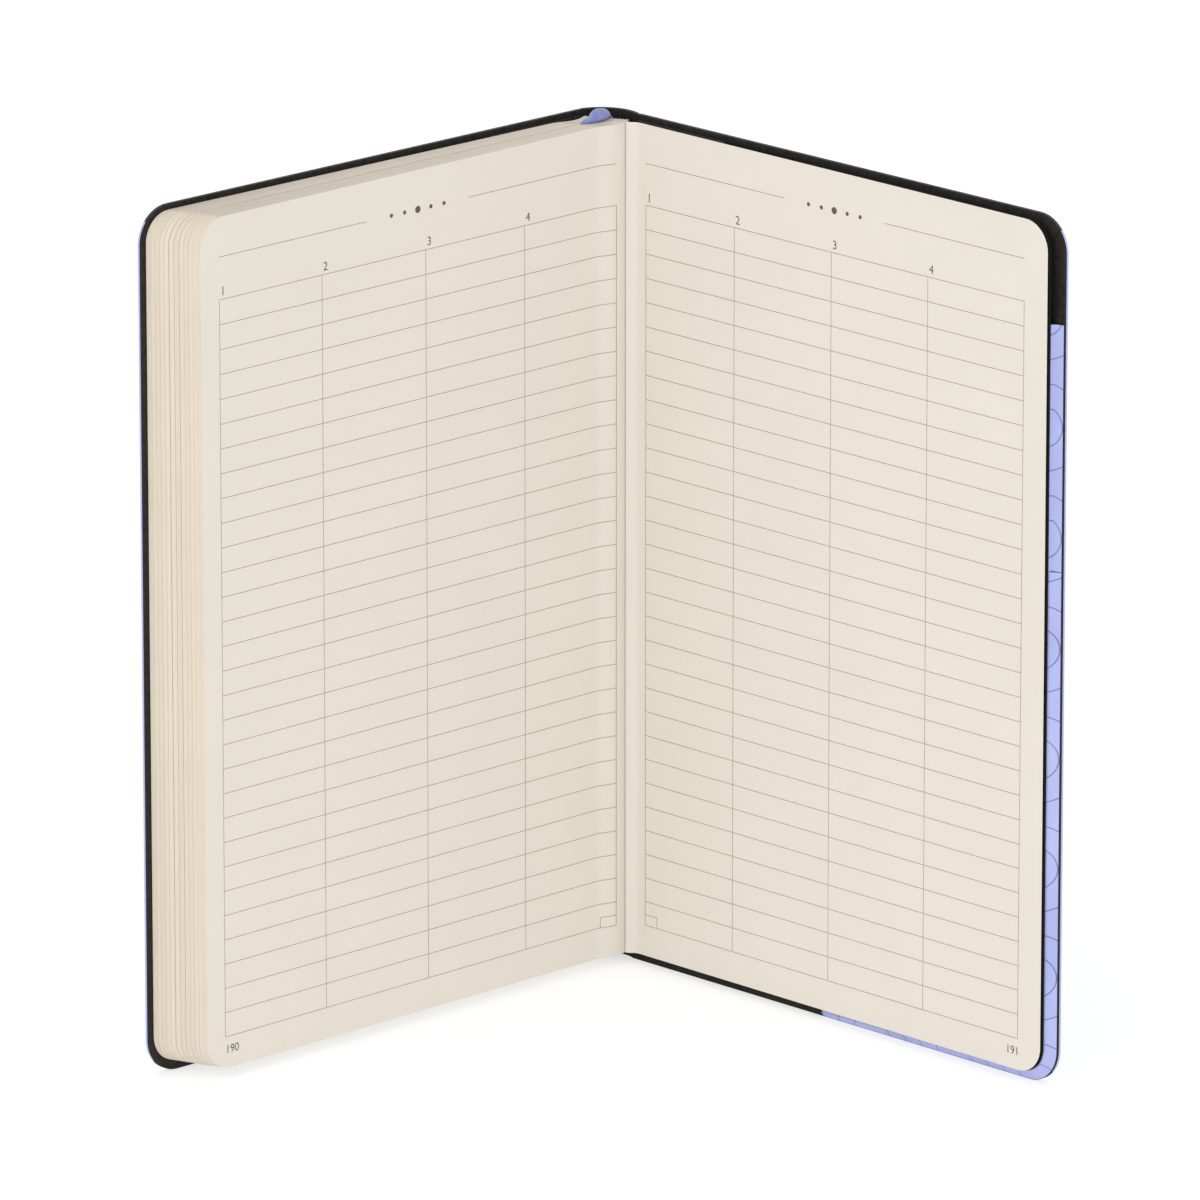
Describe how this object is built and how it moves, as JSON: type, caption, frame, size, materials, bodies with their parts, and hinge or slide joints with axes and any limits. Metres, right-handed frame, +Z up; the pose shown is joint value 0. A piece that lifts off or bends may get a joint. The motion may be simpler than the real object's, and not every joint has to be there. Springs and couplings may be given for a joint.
{
  "type": "lined notebook",
  "caption": "Soft-cover sewn notebook with rounded corners, a ribbon marker and a pocket inside the back cover, standing open at its last spread.",
  "frame": {"origin": "centre of the bounding box on the surface the notebook stands on", "axes": "+Z up along the spine, +Y away from the reader through the book, +X to the reader's right"},
  "size_m": [0.1846, 0.0903, 0.1817],
  "materials": {
    "skin": "imitation leather, fine grain, satin",
    "board": "black, matte",
    "endpaper": "black, matte",
    "cloth": "black gauze, matte",
    "thread": "waxed linen thread",
    "paper": "ivory, matte, lightly ruled",
    "ribbon": "satin ribbon",
    "pocket": "coloured paper, embossed, matte"
  },
  "bodies": {
    "spine": {"spine_strip": "board", "spine_skin": "skin", "spine_lining": "cloth", "sewing_thread": "thread"},
    "section_01": {"section_01": "paper"},
    "section_02": {"section_02": "paper"},
    "section_03": {"section_03": "paper"},
    "section_04": {"section_04": "paper"},
    "section_05": {"section_05": "paper"},
    "section_06": {"section_06": "paper", "ribbon_marker": "ribbon"},
    "section_07": {"section_07": "paper"},
    "section_08": {"section_08": "paper"},
    "section_09": {"section_09": "paper"},
    "section_10": {"section_10": "paper"},
    "section_11": {"section_11": "paper"},
    "section_12": {"section_12": "paper"},
    "last_leaf": {"last_leaf": "paper"},
    "front_joint": {"front_joint_cloth": "cloth"},
    "front_flyleaf": {"front_flyleaf": "endpaper"},
    "back_joint": {"back_joint_cloth": "cloth"},
    "back_flyleaf": {"back_flyleaf": "endpaper"},
    "front_cover": {"front_board": "board", "front_skin": "skin"},
    "back_cover": {"back_board": "board", "back_skin": "skin", "pocket_creased_side": "pocket", "pocket_corner_side": "pocket"},
    "pocket": {"pocket_panel": "pocket"}
  },
  "joints": [
    {"name": "section_01_turn", "type": "hinge", "parent": "spine", "child": "section_01", "pos_m": [-0.00354, 0.04047, 0], "axis": [0, 0, 1], "range_deg": [0, 28.9]},
    {"name": "section_02_turn", "type": "hinge", "parent": "spine", "child": "section_02", "pos_m": [-0.0028, 0.04021, 0], "axis": [0, 0, 1], "range_deg": [0, 28.77]},
    {"name": "section_03_turn", "type": "hinge", "parent": "spine", "child": "section_03", "pos_m": [-0.00206, 0.03996, 0], "axis": [0, 0, 1], "range_deg": [0, 28.65]},
    {"name": "section_04_turn", "type": "hinge", "parent": "spine", "child": "section_04", "pos_m": [-0.00133, 0.0397, 0], "axis": [0, 0, 1], "range_deg": [0, 28.52]},
    {"name": "section_05_turn", "type": "hinge", "parent": "spine", "child": "section_05", "pos_m": [-0.00059, 0.03945, 0], "axis": [0, 0, 1], "range_deg": [0, 28.39]},
    {"name": "section_06_turn", "type": "hinge", "parent": "spine", "child": "section_06", "pos_m": [0.00015, 0.0392, 0], "axis": [0, 0, 1], "range_deg": [0, 28.26], "deforming": ["ribbon_marker"]},
    {"name": "section_07_turn", "type": "hinge", "parent": "spine", "child": "section_07", "pos_m": [0.00121, 0.03883, 0], "axis": [0, 0, 1], "range_deg": [0, 28.14]},
    {"name": "section_08_turn", "type": "hinge", "parent": "spine", "child": "section_08", "pos_m": [0.00195, 0.03858, 0], "axis": [0, 0, 1], "range_deg": [0, 28.01]},
    {"name": "section_09_turn", "type": "hinge", "parent": "spine", "child": "section_09", "pos_m": [0.00268, 0.03832, 0], "axis": [0, 0, 1], "range_deg": [0, 27.88]},
    {"name": "section_10_turn", "type": "hinge", "parent": "spine", "child": "section_10", "pos_m": [0.00342, 0.03807, 0], "axis": [0, 0, 1], "range_deg": [0, 27.75]},
    {"name": "section_11_turn", "type": "hinge", "parent": "spine", "child": "section_11", "pos_m": [0.00416, 0.03782, 0], "axis": [0, 0, 1], "range_deg": [0, 27.63]},
    {"name": "section_12_turn", "type": "hinge", "parent": "spine", "child": "section_12", "pos_m": [0.0049, 0.03756, 0], "axis": [0, 0, 1], "range_deg": [0, 27.5]},
    {"name": "front_half_turn", "type": "hinge", "parent": "spine", "child": "front_joint", "pos_m": [-0.00412, 0.04281, 0], "axis": [0, 0, 1], "range_deg": [0, 28.4]},
    {"name": "front_flyleaf_turn", "type": "hinge", "parent": "front_joint", "child": "front_flyleaf", "pos_m": [-0.00412, 0.04281, 0], "axis": [0, 0, 1], "range_deg": [-60, 0]},
    {"name": "front_cover_turn", "type": "hinge", "parent": "front_flyleaf", "child": "front_cover", "pos_m": [-0.00412, 0.04281, 0], "axis": [0, 0, 1], "range_deg": [-50, 0]},
    {"name": "last_leaf_turn", "type": "hinge", "parent": "spine", "child": "last_leaf", "pos_m": [0.00534, 0.03741, 0], "axis": [0, 0, 1], "range_deg": [-64.1, 14]},
    {"name": "back_half_turn", "type": "hinge", "parent": "spine", "child": "back_joint", "pos_m": [0.00698, 0.03899, 0], "axis": [0, 0, 1], "range_deg": [-63.6, 14]},
    {"name": "back_flyleaf_turn", "type": "hinge", "parent": "back_joint", "child": "back_flyleaf", "pos_m": [0.00698, 0.03899, 0], "axis": [0, 0, 1], "range_deg": [0, 45]},
    {"name": "back_cover_turn", "type": "hinge", "parent": "back_flyleaf", "child": "back_cover", "pos_m": [0.00698, 0.03899, 0], "axis": [0, 0, 1], "range_deg": [0, 15]},
    {"name": "pocket_fill", "type": "hinge", "parent": "back_cover", "child": "pocket", "pos_m": [0.04493, 0.0001, 0], "axis": [0, 0, 1], "range_deg": [-0.1, 0.8], "deforming": ["pocket_creased_side", "pocket_corner_side"]}
  ],
  "couplings": [
    {"joint": "section_02_turn", "follows": "section_01_turn", "ratio": 0.9956},
    {"joint": "section_03_turn", "follows": "section_01_turn", "ratio": 0.99119},
    {"joint": "section_04_turn", "follows": "section_01_turn", "ratio": 0.98679},
    {"joint": "section_05_turn", "follows": "section_01_turn", "ratio": 0.98238},
    {"joint": "section_06_turn", "follows": "section_01_turn", "ratio": 0.97798},
    {"joint": "section_07_turn", "follows": "section_01_turn", "ratio": 0.97358},
    {"joint": "section_08_turn", "follows": "section_01_turn", "ratio": 0.96917},
    {"joint": "section_09_turn", "follows": "section_01_turn", "ratio": 0.96477},
    {"joint": "section_10_turn", "follows": "section_01_turn", "ratio": 0.96037},
    {"joint": "section_11_turn", "follows": "section_01_turn", "ratio": 0.95596},
    {"joint": "section_12_turn", "follows": "section_01_turn", "ratio": 0.95156},
    {"joint": "front_half_turn", "follows": "section_01_turn", "ratio": 0.9827},
    {"joint": "back_half_turn", "follows": "last_leaf_turn", "ratio": 0.9922}
  ]
}
